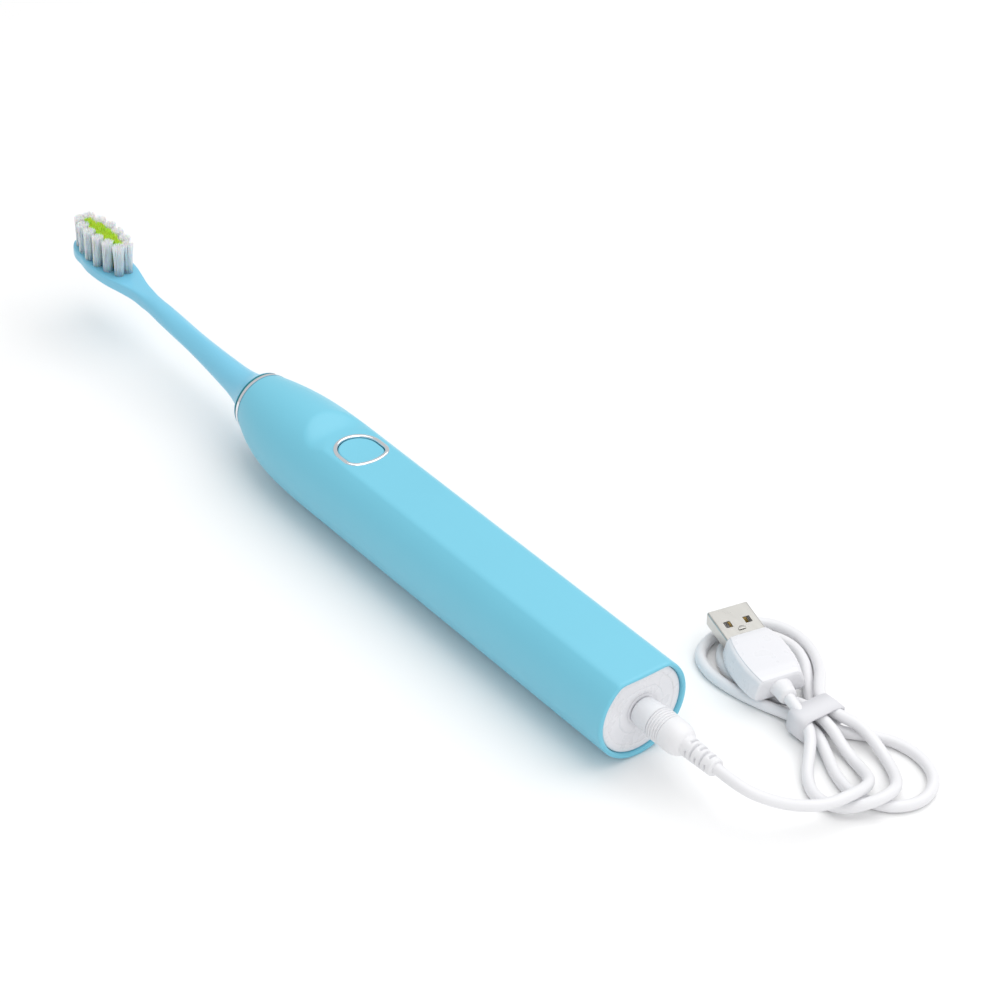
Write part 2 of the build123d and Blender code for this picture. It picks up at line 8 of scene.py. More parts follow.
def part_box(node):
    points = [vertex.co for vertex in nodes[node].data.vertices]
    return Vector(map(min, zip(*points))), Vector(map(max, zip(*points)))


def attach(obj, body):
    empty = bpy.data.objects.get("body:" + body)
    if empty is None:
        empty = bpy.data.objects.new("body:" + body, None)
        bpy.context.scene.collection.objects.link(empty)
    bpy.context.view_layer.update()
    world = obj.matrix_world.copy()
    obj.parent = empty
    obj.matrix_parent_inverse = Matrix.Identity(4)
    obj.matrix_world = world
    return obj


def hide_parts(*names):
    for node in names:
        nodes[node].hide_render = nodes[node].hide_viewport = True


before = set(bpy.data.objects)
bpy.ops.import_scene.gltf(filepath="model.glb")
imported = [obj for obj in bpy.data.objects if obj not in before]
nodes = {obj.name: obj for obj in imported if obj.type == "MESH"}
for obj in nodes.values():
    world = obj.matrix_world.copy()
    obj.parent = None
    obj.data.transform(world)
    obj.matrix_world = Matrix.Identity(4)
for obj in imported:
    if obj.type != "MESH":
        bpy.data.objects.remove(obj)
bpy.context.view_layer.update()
mm = 0.001


# ---- Handle shell
# One satin moulded sleeve, round in section with a flat planed along its front. Its shoulder rises to a
# narrow collar, and its base ends in a rounded lip round the end cap. The button sits in a sunk pocket.
shell_low, shell_high = (np.array(corner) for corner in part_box("handle_shell"))
collar_x, base_x = shell_low[0], shell_high[0]
handle_radius = (shell_high[1] - shell_low[1]) / 2
axis_z = shell_low[2] + handle_radius
collar_radius = 9.5 * mm
shoulder_length = 46.0 * mm
neck_lift = 1.9 * mm
shaft_z = axis_z + neck_lift
facet_start = base_x - 132.7 * mm
facet_level = 12.05 * mm
facet_curve = 55.0
shoulder_power = 3.8
ring_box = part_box("button_trim_ring")
button_x = (ring_box[0][0] + ring_box[1][0]) / 2
pocket_floor = axis_z + 10.6 * mm
handle_blue = (0.175, 0.560, 0.720, 1.0)


def soft_min(a, b, width):
    """Smaller of a and b, blended with a parabola where they are closer than width."""
    share = np.clip(0.5 + 0.5 * (b - a) / width, 0, 1)
    return b + (a - b) * share - width * share * (1 - share)


def facet_height(x):
    """Height of the planed flat above the axis: level, then turning up in a parabola toward the collar."""
    return facet_level + np.clip(facet_start - x, 0, None) ** 2 * facet_curve


def shoulder(x):
    """Radius and lift of the round section: the radius grows by a power curve from the collar to the full
    width, while the section's centre comes down from the neck's line to the axis."""
    t = np.clip((x - collar_x) / shoulder_length, 0, 1)
    radius = collar_radius + (handle_radius - collar_radius) * (1 - (1 - t) ** shoulder_power)
    return radius, neck_lift * (1 - t) ** 6


def button_rim(turn, inset):
    """Outline of the button in plan. For an outward direction at angle turn from +X, the rim is an arc about
    one of three centres: a wide arc on the base side, a corner arc, and a half circle on the head side."""
    corner_turn = math.radians(22.4)
    sideways = np.abs(turn)
    base_side = sideways < corner_turn
    corner_side = (sideways >= corner_turn) & (sideways < math.pi / 2)
    centre_x = np.where(base_side, -5.2 * mm, np.where(corner_side, 2.57 * mm, 0.0))
    centre_y = np.where(corner_side, 3.2 * mm, 0.0) * np.sign(turn)
    radius = np.where(base_side, 12.6 * mm, np.where(corner_side, 4.2 * mm, 7.4 * mm)) - inset
    return centre_x + radius * np.cos(turn), centre_y + radius * np.sin(turn)


def grid_faces(rows, columns):
    """Quads of a grid whose last column joins its first."""
    row, column = np.meshgrid(np.arange(rows - 1), np.arange(columns), indexing="ij")
    after = (column + 1) % columns
    low, high = row * columns, (row + 1) * columns
    quads = [low + column, low + after, high + after, high + column]
    return np.stack(quads, axis=-1).reshape(-1, 4)


def make_piece(name, points, faces, smooth=True):
    """New object at the origin from an array of points and a list of faces, its normals turned outward."""
    mesh = bpy.data.meshes.new(name)
    corners = np.asarray(points, dtype=float).reshape(-1, 3).tolist()
    mesh.from_pydata(corners, [], [list(face) for face in faces])
    work = bmesh.new()
    work.from_mesh(mesh)
    bmesh.ops.remove_doubles(work, verts=work.verts, dist=1e-7)
    bmesh.ops.recalc_face_normals(work, faces=work.faces)
    work.to_mesh(mesh)
    work.free()
    mesh.polygons.foreach_set("use_smooth", np.full(len(mesh.polygons), smooth))
    mesh.update()
    piece = bpy.data.objects.new(name, mesh)
    bpy.context.scene.collection.objects.link(piece)
    return piece


def tube_piece(name, rows, sharp=math.radians(40)):
    """Closed piece from rings of points: quads between rings, and a fan to the middle of each end ring."""
    count, columns = rows.shape[:2]
    faces = grid_faces(count, columns).tolist()
    points = np.concatenate([rows.reshape(-1, 3), rows[:1].mean(axis=1), rows[-1:].mean(axis=1)])
    first, last = count * columns, count * columns + 1
    for j in range(columns):
        faces.append([j, first, (j + 1) % columns])
        faces.append([(count - 1) * columns + j, (count - 1) * columns + (j + 1) % columns, last])
    piece = make_piece(name, points, faces)
    piece.data.set_sharp_from_angle(angle=sharp)
    return piece


def noise_pair(tree, scale, detail, stretch=(1, 1, 1), place=(0, 0)):
    """Noise texture on object coordinates, stretched by a mapping, as used inside the finish groups."""
    coordinates = tree.nodes.new("ShaderNodeTexCoord")
    mapping = tree.nodes.new("ShaderNodeMapping")
    noise = tree.nodes.new("ShaderNodeTexNoise")
    mapping.inputs["Scale"].default_value = stretch
    noise.inputs["Scale"].default_value = scale
    noise.inputs["Detail"].default_value = detail
    tree.links.new(coordinates.outputs["Object"], mapping.inputs["Vector"])
    tree.links.new(mapping.outputs["Vector"], noise.inputs["Vector"])
    for step, node in enumerate((coordinates, mapping, noise)):
        node.location = (place[0] + 200 * step, place[1])
    return noise


def new_group(name, inputs, outputs):
    """Shader node group with named sockets. inputs holds name, socket type and default value."""
    group = bpy.data.node_groups.new(name, "ShaderNodeTree")
    for label, kind, value in inputs:
        socket = group.interface.new_socket(label, in_out="INPUT", socket_type=kind)
        socket.default_value = value
    for label, kind in outputs:
        group.interface.new_socket(label, in_out="OUTPUT", socket_type=kind)
    start = group.nodes.new("NodeGroupInput")
    end = group.nodes.new("NodeGroupOutput")
    start.location, end.location = (-600, 0), (900, 0)
    return group, start, end


def spread(tree, source, low, high):
    """Map Range node that carries a noise value from 0.1 to 0.9 onto low to high."""
    node = tree.nodes.new("ShaderNodeMapRange")
    node.inputs["From Min"].default_value = 0.1
    node.inputs["From Max"].default_value = 0.9
    tree.links.new(source, node.inputs["Value"])
    for label, value in (("To Min", low), ("To Max", high)):
        if isinstance(value, bpy.types.NodeSocket):
            tree.links.new(value, node.inputs[label])
        else:
            node.inputs[label].default_value = value
    return node.outputs["Result"]


def scale_colour(tree, colour, factor):
    """Vector Math node that multiplies a colour by a number."""
    node = tree.nodes.new("ShaderNodeVectorMath")
    node.operation = "SCALE"
    tree.links.new(colour, node.inputs[0])
    tree.links.new(factor, node.inputs["Scale"])
    return node.outputs["Vector"]


def join_maths(tree, operation, a, b):
    """Math node on two sockets or numbers."""
    node = tree.nodes.new("ShaderNodeMath")
    node.operation = operation
    for socket, value in zip(node.inputs, (a, b)):
        if isinstance(value, bpy.types.NodeSocket):
            tree.links.new(value, socket)
        else:
            socket.default_value = value
    return node.outputs[0]


def moulded_skin_group():
    """Moulded plastic: faintly cloudy colour, roughness that wanders with handling, and a fine grain."""
    group, start, end = new_group(
        "moulded_skin",
        [
            ("Colour", "NodeSocketColor", (0.8, 0.8, 0.8, 1.0)),
            ("Cloud", "NodeSocketFloat", 0.03),
            ("Roughness", "NodeSocketFloat", 0.3),
            ("Handling", "NodeSocketFloat", 0.08),
            ("Grain", "NodeSocketFloat", 1.0),
        ],
        [("Colour", "NodeSocketColor"), ("Roughness", "NodeSocketFloat"), ("Height", "NodeSocketFloat")],
    )
    cloud = noise_pair(group, 35.0, 3.0, place=(-400, 300))
    hands = noise_pair(group, 160.0, 5.0, place=(-400, 0))
    grain = noise_pair(group, 2600.0, 2.0, place=(-400, -300))
    low = join_maths(group, "SUBTRACT", 1.0, start.outputs["Cloud"])
    high = join_maths(group, "ADD", 1.0, start.outputs["Cloud"])
    tone = spread(group, cloud.outputs["Fac"], low, high)
    group.links.new(scale_colour(group, start.outputs["Colour"], tone), end.inputs["Colour"])
    wander = spread(group, hands.outputs["Fac"], 0.0, start.outputs["Handling"])
    group.links.new(join_maths(group, "ADD", start.outputs["Roughness"], wander), end.inputs["Roughness"])
    height = join_maths(group, "MULTIPLY", grain.outputs["Fac"], start.outputs["Grain"])
    group.links.new(height, end.inputs["Height"])
    return group


moulded_skin = moulded_skin_group()


def new_finish(name, group, values, bump, **uniform):
    """Material with one Principled BSDF, fed by a finish group through Base Color, Roughness and a Bump node.
    values are the group's inputs, bump is the relief in metres, and uniform are the shader's own sockets."""
    material = bpy.data.materials.new(name)
    material.use_nodes = True
    tree = material.node_tree
    shader = tree.nodes["Principled BSDF"]
    skin = tree.nodes.new("ShaderNodeGroup")
    skin.node_tree = group
    skin.location = (-500, 0)
    for label, value in values.items():
        skin.inputs[label].default_value = value
    relief = tree.nodes.new("ShaderNodeBump")
    relief.location = (-250, -250)
    relief.inputs["Strength"].default_value = 0.3
    relief.inputs["Distance"].default_value = bump
    tree.links.new(skin.outputs["Colour"], shader.inputs["Base Color"])
    tree.links.new(skin.outputs["Roughness"], shader.inputs["Roughness"])
    tree.links.new(skin.outputs["Height"], relief.inputs["Height"])
    tree.links.new(relief.outputs["Normal"], shader.inputs["Normal"])
    for label, value in uniform.items():
        shader.inputs[label.replace("_", " ")].default_value = value
    return material


def dress(piece, material):
    """Give a piece its material: a CAD node through its own slots, a new piece through a new slot."""
    if piece.material_slots:
        for place in piece.material_slots:
            place.material = material
    else:
        piece.data.materials.append(material)


shell_plastic = new_finish(
    "handle_blue_plastic",
    moulded_skin,
    {"Colour": handle_blue, "Cloud": 0.02, "Roughness": 0.36, "Handling": 0.06, "Grain": 1.0},
    0.00001,
    IOR=1.45,
    Coat_Weight=0.12,
    Coat_Roughness=0.3,
)

lip_radius = 0.7 * mm
lip_turn = np.linspace(0, math.pi, 9)
nose = np.array([[collar_x, 2.4 * mm], [collar_x, 0.25 * mm], [collar_x + 0.08 * mm, 0.06 * mm]])
shoulder_run = np.concatenate([np.linspace(0.3, 9.0, 30), np.linspace(9.5, 36.5, 55)]) * mm
body_run = np.concatenate(
    [
        np.arange(button_x - collar_x - 8.7 * mm, button_x - collar_x + 8.7 * mm, 0.3 * mm),
        np.linspace(button_x - collar_x + 9 * mm, base_x - collar_x - 1.2 * mm, 66),
    ]
)
body_run = body_run[body_run > shoulder_run[-1] + 0.2 * mm]
outside_x = collar_x + np.concatenate([shoulder_run, body_run])
outside = np.column_stack([outside_x, np.zeros(len(outside_x))])
lip = np.column_stack(
    [base_x - lip_radius + lip_radius * np.sin(lip_turn), lip_radius - lip_radius * np.cos(lip_turn)]
)
mouth = np.array([[base_x - 2.5 * mm, 1.4 * mm], [base_x - 6.0 * mm, 1.4 * mm]])
profile = np.concatenate([nose, outside, lip, mouth])
front_angle = np.radians(np.arange(-50, 50, 1.0))
back_angle = np.radians(np.arange(50, 310, 3.25))
section_angle = np.concatenate([front_angle, back_angle])
station_x, station_inset = profile[:, :1], profile[:, 1:]
round_radius, lift = shoulder(station_x)
cosine = np.cos(section_angle)[None, :]
flat_reach = np.where(cosine > 0.2, (facet_height(station_x) - lift) / np.maximum(cosine, 0.2), 1.0)
edge_width = np.interp(station_x, [facet_start, facet_start + 4 * mm, base_x], [2.5 * mm, 0.5 * mm, 0.9 * mm])
reach = soft_min(round_radius + 0 * cosine, flat_reach, edge_width) - station_inset
shell_x = station_x + 0 * reach
shell_y = reach * np.sin(section_angle)
shell_z = axis_z + lift + reach * np.cos(section_angle)
rim_turn = np.radians(np.arange(-180.0, 180.5, 1.0))
rim_x, rim_y = button_rim(rim_turn, 0.6 * mm)
plan_turn = np.arctan2(shell_y, shell_x - button_x)
rim_reach = np.interp(plan_turn, np.arctan2(rim_y, rim_x)[1:-1], np.hypot(rim_x, rim_y)[1:-1])
in_pocket = (np.hypot(shell_x - button_x, shell_y) < rim_reach) & (shell_z > axis_z + 9 * mm)
shell_z = np.where(in_pocket, pocket_floor, shell_z)
handle_skin = tube_piece("handle_skin", np.stack([shell_x, shell_y, shell_z], axis=-1))
dress(handle_skin, shell_plastic)
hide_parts("handle_shell")
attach(handle_skin, "handle")


# ---- Button: chrome surround and key
# The surround is a narrow plated band, rounded over its top and pressed into the pocket. The key is the
# handle's own plastic, a little sunk inside the band, with a soft edge and a slight dish for the finger.
band_width = 1.2 * mm
chrome_colour = (0.83, 0.85, 0.88, 1.0)


def metal_skin_group():
    """Metal: faint streaks along X in the tone and the roughness, and very shallow rubbing marks."""
    group, start, end = new_group(
        "metal_skin",
        [
            ("Colour", "NodeSocketColor", (0.8, 0.8, 0.8, 1.0)),
            ("Tone", "NodeSocketFloat", 0.05),
            ("Roughness", "NodeSocketFloat", 0.2),
            ("Rubbing", "NodeSocketFloat", 0.1),
        ],
        [("Colour", "NodeSocketColor"), ("Roughness", "NodeSocketFloat"), ("Height", "NodeSocketFloat")],
    )
    streak = noise_pair(group, 700.0, 4.0, stretch=(0.15, 1, 1), place=(-400, 300))
    rub = noise_pair(group, 2200.0, 3.0, stretch=(0.1, 1, 1), place=(-400, -100))
    low = join_maths(group, "SUBTRACT", 1.0, start.outputs["Tone"])
    tone = spread(group, streak.outputs["Fac"], low, 1.0)
    group.links.new(scale_colour(group, start.outputs["Colour"], tone), end.inputs["Colour"])
    wander = spread(group, rub.outputs["Fac"], 0.0, start.outputs["Rubbing"])
    group.links.new(join_maths(group, "ADD", start.outputs["Roughness"], wander), end.inputs["Roughness"])
    group.links.new(rub.outputs["Fac"], end.inputs["Height"])
    return group


def surface_height(x, y):
    """Height of the shell over a point in plan: the lower of the round side and the flat, softly joined."""
    side = np.sqrt(np.clip(handle_radius**2 - y**2, 0, None))
    return axis_z + soft_min(side, facet_height(x), 0.5 * mm)


metal_skin = metal_skin_group()
chrome_plate = new_finish(
    "chrome_plate",
    metal_skin,
    {"Colour": chrome_colour, "Tone": 0.04, "Roughness": 0.05, "Rubbing": 0.06},
    0.000002,
    Metallic=1.0,
)

around = np.radians(np.arange(-180.0, 180.0, 2.5))[:, None]
over = np.linspace(0, math.pi, 11)[None, :]
band_inset = band_width / 2 * (1 - np.cos(over)) + 0 * around
band_x, band_y = button_rim(around + 0 * over, band_inset)
band_x = band_x + button_x
band_z = surface_height(band_x, band_y) + 0.38 * mm * np.sin(over) ** 0.8 - 0.02 * mm
band_top = np.stack([band_x, band_y, band_z], axis=-1)
band_foot = band_top[:, [-1, 0]] * [1, 1, 0] + [0, 0, pocket_floor - 0.1 * mm]
band_rows = np.concatenate([band_top, band_foot], axis=1).transpose(1, 0, 2)
band_rows = np.concatenate([band_rows, band_rows[:1]])
button_band = make_piece("button_band", band_rows, grid_faces(*band_rows.shape[:2]))
dress(button_band, chrome_plate)
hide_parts("button_trim_ring")
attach(button_band, "handle")

key_steps = np.concatenate([np.linspace(0.02, 0.86, 14), np.linspace(0.88, 1.0, 9)])[:, None]
key_x, key_y = button_rim(np.radians(np.arange(-180.0, 180.0, 3.0))[None, :], band_width + 0.12 * mm)
key_x, key_y = key_x * key_steps, key_y * key_steps
key_edge = 0.45 * mm * np.clip((key_steps - 0.9) / 0.1, 0, 1) ** 2.5
key_dish = 0.18 * mm * (1 - key_steps**2)
key_z = surface_height(button_x + key_x, key_y) - 0.05 * mm - key_edge - key_dish
key_top = np.stack([button_x + key_x, key_y, key_z], axis=-1)
key_foot = key_top[-1:] * [1, 1, 0] + [0, 0, pocket_floor + 0.55 * mm]
key_skin = tube_piece("button_key", np.concatenate([key_top, key_foot]))
dress(key_skin, shell_plastic)
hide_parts("button_cap")
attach(key_skin, "power_button")


# ---- Collar
# A thin chrome ring closes the shell's nose. Below the head sits a sealing ring in a gap; its dark teal is
# painted shade for that gap.
dress(nodes["neck_trim_ring"], chrome_plate)
# Painted shade: the seals get a darkened body blue that stands in for the shade in the gap under the head.
teal_rubber = new_finish(
    "teal_rubber",
    moulded_skin,
    {"Colour": (0.010, 0.200, 0.230, 1.0), "Cloud": 0.06, "Roughness": 0.5, "Handling": 0.1, "Grain": 1.5},
    0.00002,
)
for name in ("head_base_ring", "shaft_seal", "button_gasket", "end_cap_seal"):
    dress(nodes[name], teal_rubber)


# ---- Brush head: neck and plate
# One moulding: a flared skirt, a slim neck that narrows toward the bristles, and an oval plate with a flat
# top and a rounded back. It pushes onto the shaft.
head_low, head_high = (np.array(corner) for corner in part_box("head_body"))
head_x = head_high[0]
tip_x = head_low[0]
head_length = head_x - tip_x
neck_rise = 0.077
rise_end = 66.0 * mm
plate_centre = 84.0 * mm


def smooth_curve(knots, values, at):
    """Smooth curve through knots: cubic pieces whose slopes are the average of their neighbours' slopes."""
    knots, values = np.asarray(knots, dtype=float), np.asarray(values, dtype=float)
    slopes = np.gradient(values, knots)
    i = np.clip(np.searchsorted(knots, at) - 1, 0, len(knots) - 2)
    span = knots[i + 1] - knots[i]
    t = (at - knots[i]) / span
    start = (2 * t**3 - 3 * t**2 + 1) * values[i] + (t**3 - 2 * t**2 + t) * span * slopes[i]
    end = (-2 * t**3 + 3 * t**2) * values[i + 1] + (t**3 - t**2) * span * slopes[i + 1]
    return start + end


def neck_height(run):
    """Height of the neck's middle line: a straight rise that bends level under the plate."""
    return shaft_z + neck_rise * (run - 3 * mm * np.logaddexp(0, (run - rise_end) / (3 * mm)))


run = mm * np.concatenate(
    [np.linspace(0, 0.9, 7), np.linspace(1.05, 14, 44), np.linspace(15, 56, 42), np.linspace(57, 90, 56)]
)
end_turn = np.linspace(0, math.pi / 2, 16)[1:]
oval_start = 90.0 * mm
oval_length = head_length - oval_start
run = np.concatenate([run, oval_start + oval_length * np.sin(end_turn)])
flare_knots = [0, 0.5, 1, 1.75, 2.5, 4.5, 7.5, 11, 16, 24, 34]
flare_radii = [9.25, 9.0, 8.5, 7.8, 7.25, 6.25, 5.4, 4.85, 4.5, 4.1, 3.7]
width_knots = mm * np.array(flare_knots + [44, 54, 60, 64, 69, 74, 80, 85, 90, 100])
width_values = mm * np.array(flare_radii + [3.45, 3.0, 2.85, 3.15, 4.3, 5.6, 6.3, 6.15, 5.2, 3.6])
oval_share = np.clip((run - oval_start) / oval_length, 0, 1)
half_width = smooth_curve(width_knots, width_values, run)
half_width = np.where(oval_share > 0, 5.2 * mm * (1 - oval_share**2) ** 0.62, half_width)
height_knots = mm * np.array(flare_knots + [44, 54, 60, 66, 71, 100])
top_values = mm * np.array(flare_radii + [3.4, 2.85, 2.4, 2.15, 2.1, 2.1])
back_values = mm * np.array(flare_radii + [3.4, 2.9, 2.6, 2.4, 2.2, 2.1])
top_height = smooth_curve(height_knots, top_values, run) * (1 - 0.35 * oval_share**14)
back_height = smooth_curve(height_knots, back_values, run) * (1 - 0.5 * oval_share**6)
flatness = smooth_curve(np.array([0, 50, 58, 66, 100]) * mm, np.array([2.0, 2.0, 2.6, 7.0, 7.0]), run)
ring_angle = np.radians(np.arange(0, 360, 3.0))[None, :]
sine, cosine = np.sin(ring_angle), np.cos(ring_angle)
top_power = (2 / flatness)[:, None]
back_power = (2 / np.minimum(flatness, 3.2))[:, None]
power = np.where(cosine >= 0, top_power, back_power)
neck_y = half_width[:, None] * np.sign(sine) * np.abs(sine) ** power
neck_half = np.where(cosine >= 0, top_height[:, None], back_height[:, None])
neck_up = neck_half * np.sign(cosine) * np.abs(cosine) ** power
neck_x = head_x - run[:, None] + 0 * neck_y
neck_z = neck_height(run)[:, None] + neck_up
neck_plastic = new_finish(
    "neck_blue_plastic",
    moulded_skin,
    {"Colour": (0.190, 0.560, 0.760, 1.0), "Cloud": 0.025, "Roughness": 0.32, "Handling": 0.08, "Grain": 1.0},
    0.00001,
    IOR=1.5,
    Coat_Weight=0.2,
    Coat_Roughness=0.2,
)
head_skin = tube_piece("head_skin", np.stack([neck_x, neck_y, neck_z], axis=-1), sharp=math.radians(50))
dress(head_skin, neck_plastic)
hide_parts("head_body")
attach(head_skin, "brush_head")


# ---- Bristles
# Nylon filaments folded over an anchor in each hole, so that a tuft spreads a little toward its ends. White
# tufts stand round the rim of the plate, and green ones fill the middle. The ends are ground round.
bristle_random = np.random.default_rng(20)
plate_middle = np.array([head_x - plate_centre, 0.0, shaft_z + neck_rise * rise_end + 2.05 * mm])
along_plate, across_plate, off_plate = np.array([[-1.0, 0.0, 0.0], [0.0, -1.0, 0.0], [0.0, 0.0, 1.0]])
filament_radius = 0.1 * mm
white_places = []
for along, across in ((10.9, 1.55), (6.8, 3.0), (2.3, 3.8)):
    white_places += [(along, across), (along, -across), (-along, across), (-along, -across)]
green_places = [(6.6, 0.0), (-6.6, 0.0), (8.8, 0.0), (-8.8, 0.0)]
for row in range(-2, 3):
    green_places += [(2.2 * row, 1.1), (2.2 * row, -1.1)]


def tuft_piece(name, places, tuft_radius, per_tuft, length, sag):
    """Filaments of all tufts as one mesh. Each tuft packs its filaments on a sunflower spiral. A filament is
    a five-sided rod of five rings on a gently bent line: root, two inner points, shoulder, rounded end."""
    centres = np.repeat(np.array(places) * mm, per_tuft, axis=0)
    index = np.tile(np.arange(per_tuft), len(places))
    turn = index * 2.39996 + np.repeat(bristle_random.uniform(0, 6.28, len(places)), per_tuft)
    reach = np.sqrt((index + 0.5) / per_tuft) * (tuft_radius - filament_radius)
    spoke = np.column_stack([np.cos(turn), np.sin(turn)]) * reach[:, None]
    root = centres + spoke
    lean = spoke * 0.32 + np.repeat(bristle_random.normal(0, 0.12 * mm, (len(places), 2)), per_tuft, axis=0)
    lean = lean + bristle_random.normal(0, 0.08 * mm, root.shape)
    high = length + bristle_random.normal(0, 0.10 * mm, len(root)) - sag * (reach / tuft_radius) ** 2
    share = np.array([0.0, 0.35, 0.7, 0.975, 1.0])
    thick = np.array([1.0, 1.0, 0.97, 0.9, 0.35]) * filament_radius
    line = root[:, None, :] + lean[:, None, :] * share[None, :, None] ** 2
    side = np.arange(5) * 2 * math.pi / 5
    rim = np.stack([np.cos(side), np.sin(side)], axis=-1)
    flat = line[:, :, None, :] + thick[None, :, None, None] * rim[None, None]
    up = (high[:, None] * share)[:, :, None] + 0 * flat[..., 0]
    points = plate_middle + flat[..., :1] * along_plate + flat[..., 1:] * across_plate
    points = points + up[..., None] * off_plate
    quads = grid_faces(5, 5)
    start = (np.arange(len(root)) * 25)[:, None, None]
    faces = (start + quads[None]).reshape(-1, 4).tolist()
    faces += (start[:, :, 0] + np.arange(20, 25)).tolist()
    faces += (start[:, :, 0] + np.arange(5)).tolist()
    return make_piece(name, points, faces)


def bristle_group():
    """Nylon filament: painted shade darkens it toward the root and it is paler toward the end, with a faint
    change from place to place.
    """
    group, start, end = new_group(
        "nylon_filament",
        [
            ("Root Colour", "NodeSocketColor", (0.5, 0.5, 0.5, 1.0)),
            ("End Colour", "NodeSocketColor", (0.9, 0.9, 0.9, 1.0)),
            ("Root Height", "NodeSocketFloat", 0.02),
            ("End Height", "NodeSocketFloat", 0.03),
            ("Roughness", "NodeSocketFloat", 0.4),
        ],
        [("Colour", "NodeSocketColor"), ("Roughness", "NodeSocketFloat"), ("Height", "NodeSocketFloat")],
    )
    coordinates = group.nodes.new("ShaderNodeTexCoord")
    split = group.nodes.new("ShaderNodeSeparateXYZ")
    group.links.new(coordinates.outputs["Object"], split.inputs[0])
    # Painted shade: the colour runs from the shaded root colour at the plate up to the end colour.
    rise = group.nodes.new("ShaderNodeMapRange")
    group.links.new(split.outputs["Z"], rise.inputs["Value"])
    group.links.new(start.outputs["Root Height"], rise.inputs["From Min"])
    group.links.new(start.outputs["End Height"], rise.inputs["From Max"])
    mix = group.nodes.new("ShaderNodeMix")
    mix.data_type = "RGBA"
    group.links.new(rise.outputs["Result"], mix.inputs["Factor"])
    group.links.new(start.outputs["Root Colour"], mix.inputs["A"])
    group.links.new(start.outputs["End Colour"], mix.inputs["B"])
    patch = noise_pair(group, 450.0, 2.0, place=(-400, -300))
    tone = spread(group, patch.outputs["Fac"], 0.93, 1.05)
    group.links.new(scale_colour(group, mix.outputs["Result"], tone), end.inputs["Colour"])
    wander = spread(group, patch.outputs["Fac"], 0.0, 0.15)
    group.links.new(join_maths(group, "ADD", start.outputs["Roughness"], wander), end.inputs["Roughness"])
    group.links.new(patch.outputs["Fac"], end.inputs["Height"])
    return group


filament_skin = bristle_group()
root_height = float(plate_middle[2])
filament_length = 10.25 * mm
# Each pair is the root colour, then the end colour. The root colour is the end colour darkened by painted
# shade where the tufts shade each other near the plate.
bristle_colours_with_root_shade = {
    "white": ((0.80, 0.80, 0.83, 1.0), (0.97, 0.97, 0.98, 1.0)),
    "green": ((0.20, 0.46, 0.01, 1.0), (0.50, 0.88, 0.05, 1.0)),
}
bristle_sets = (
    ("white", white_places, 1.55 * mm, 92, filament_length, 0.2 * mm),
    ("green", green_places, 1.1 * mm, 46, filament_length - 0.35 * mm, 0.1 * mm),
)
for shade, places, tuft_radius, per_tuft, length, sag in bristle_sets:
    nylon = new_finish(
        shade + "_nylon",
        filament_skin,
        {
            "Root Colour": bristle_colours_with_root_shade[shade][0],
            "End Colour": bristle_colours_with_root_shade[shade][1],
            "Root Height": root_height,
            "End Height": root_height + filament_length,
            "Roughness": 0.38,
        },
        0.000005,
        Subsurface_Weight=0.6,
        Subsurface_Scale=0.003,
    )
    tufts = tuft_piece(shade + "_filaments", places, tuft_radius, per_tuft, length, sag)
    dress(tufts, nylon)
    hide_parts(shade + "_tufts")
    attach(tufts, "brush_head")


# ---- End cap
# White moulded disc set a little inside the shell's lip, its flat side under the handle's flat. Two shallow
# steps ring the charging jack in its middle.
cap_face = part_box("end_cap")[1][0]
jack_radius = 4.6 * mm
white_plastic = new_finish(
    "white_gloss_plastic",
    moulded_skin,
    {"Colour": (0.78, 0.78, 0.81, 1.0), "Cloud": 0.015, "Roughness": 0.24, "Handling": 0.08, "Grain": 1.0},
    0.00001,
    IOR=1.5,
    Coat_Weight=0.2,
    Coat_Roughness=0.15,
)
cap_turn = np.radians(np.arange(0, 360, 2.0))[None, :]
cap_gap = 1.52 * mm
cap_flat = np.where(np.cos(cap_turn) > 0.2, facet_height(base_x) / np.maximum(np.cos(cap_turn), 0.2), 1.0)
cap_rim = soft_min(handle_radius + 0 * cap_turn, cap_flat, 0.7 * mm) - cap_gap
cap_share = np.array([0, 0, 0.02, 0.28, 0.31, 0.33, 0.74, 0.76, 0.78, 0.94, 0.975, 0.993, 1.0, 1.0])[:, None]
cap_depth = mm * np.array([4.0, 0.1, 0.0, 0.0, 0.06, 0.25, 0.25, 0.06, 0.0, 0.0, 0.06, 0.2, 0.4, 4.0])
cap_depth = cap_depth[:, None]
cap_reach = jack_radius + (cap_rim - jack_radius) * cap_share
cap_x = cap_face - cap_depth + 0 * cap_reach
cap_y = cap_reach * np.sin(cap_turn)
cap_z = axis_z + cap_reach * np.cos(cap_turn)
cap_rows = np.stack([cap_x, cap_y, cap_z], axis=-1)
cap_rows = np.concatenate([cap_rows, cap_rows[:1]])
cap_skin = make_piece("end_cap_disc", cap_rows, grid_faces(*cap_rows.shape[:2]))
cap_skin.data.set_sharp_from_angle(angle=math.radians(40))
dress(cap_skin, white_plastic)
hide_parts("end_cap")
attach(cap_skin, "handle")
dress(nodes["jack_body"], white_plastic)


# ---- Charging plug
# Soft white overmould on the barrel plug: a slowly widening sleeve, five fine grip ribs, a fuller shoulder,
# then a slim strain relief with part-ring slots, turned from one to the next so that it bends.
relief_low, relief_high = (np.array(corner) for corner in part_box("plug_strain_relief"))
plug_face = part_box("plug_overmould")[0][0]
relief_x, cord_x = relief_low[0], relief_high[0]
plug_turn = np.radians(np.arange(0, 360, 5.0))[None, :]
white_jacket = new_finish(
    "white_cord_jacket",
    moulded_skin,
    {"Colour": (0.80, 0.80, 0.82, 1.0), "Cloud": 0.02, "Roughness": 0.36, "Handling": 0.08, "Grain": 1.0},
    0.00001,
    IOR=1.48,
    Coat_Weight=0.1,
    Coat_Roughness=0.3,
)


